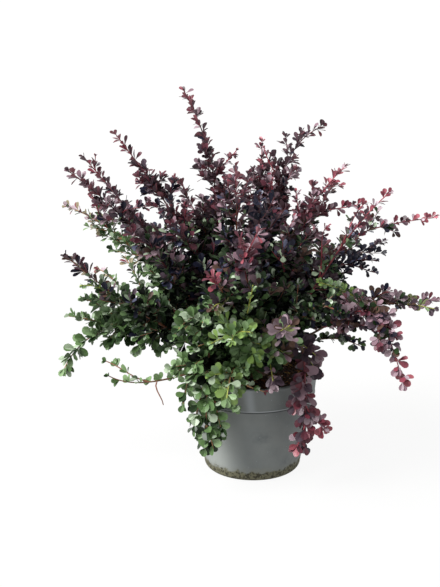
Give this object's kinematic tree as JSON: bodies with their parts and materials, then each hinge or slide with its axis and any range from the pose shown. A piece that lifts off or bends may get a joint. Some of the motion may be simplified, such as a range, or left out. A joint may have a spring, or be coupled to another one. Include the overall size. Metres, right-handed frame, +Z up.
{
  "type": "potted japanese barberry shrub",
  "caption": "Potted purple-leaved barberry shrub: arching leafy canes fan out from a short woody stump in a grey plastic nursery pot.",
  "frame": {"origin": "centre of the pot's flat underside, on the ground", "axes": "+Z up the pot's axis, -Y towards the side that the picture shows, +X to the right in the picture"},
  "size_m": [0.6128, 0.5232, 0.5871],
  "materials": {
    "pot_plastic": "matte grey recycled plastic with scuffs",
    "soil": "dark crumbly potting mix",
    "bark": "brown bark with fine ridges",
    "foliage": "thin leaves, wine purple above and green below, on fine twigs"
  },
  "bodies": {
    "root": {"pot": "pot_plastic", "potting_soil": "soil", "stump": "bark", "top_spire_bough": "bark", "right_spire_bough": "bark", "right_long_bough": "bark", "right_far_high_bough": "bark", "right_far_low_bough": "bark", "right_droop_bough": "bark", "right_front_pendant_bough": "bark", "left_front_pendant_bough": "bark", "left_droop_bough": "bark", "left_low_bough": "bark", "left_mid_bough": "bark", "left_high_green_bough": "bark", "left_purple_low_bough": "bark", "left_spire_bough": "bark", "back_left_high_bough": "bark", "back_right_high_bough": "bark", "back_left_far_bough": "bark", "back_far_bough": "bark", "back_right_far_bough": "bark", "top_spire_foliage": "foliage", "centre_spire_foliage": "foliage", "right_spire_foliage": "foliage", "right_upper_foliage": "foliage", "right_long_foliage": "foliage", "right_back_foliage": "foliage", "right_far_high_foliage": "foliage", "right_far_low_foliage": "foliage", "right_droop_foliage": "foliage", "right_front_pendant_foliage": "foliage", "left_front_pendant_foliage": "foliage", "left_droop_foliage": "foliage", "left_low_foliage": "foliage", "left_mid_foliage": "foliage", "left_high_green_foliage": "foliage", "left_purple_low_foliage": "foliage", "left_purple_high_foliage": "foliage", "left_spire_foliage": "foliage", "back_left_high_foliage": "foliage", "top_fork_foliage": "foliage", "back_right_high_foliage": "foliage", "back_left_far_foliage": "foliage", "back_far_foliage": "foliage", "back_right_far_foliage": "foliage", "centre_red_foliage": "foliage", "front_red_foliage": "foliage", "front_green_foliage": "foliage", "front_left_green_foliage": "foliage", "front_right_purple_foliage": "foliage", "right_front_dark_foliage": "foliage", "front_low_left_foliage": "foliage", "front_low_middle_foliage": "foliage", "front_low_right_foliage": "foliage", "right_low_foliage": "foliage", "left_inner_foliage": "foliage", "back_low_foliage": "foliage", "back_right_low_foliage": "foliage", "back_left_low_foliage": "foliage"}
  },
  "joints": []
}
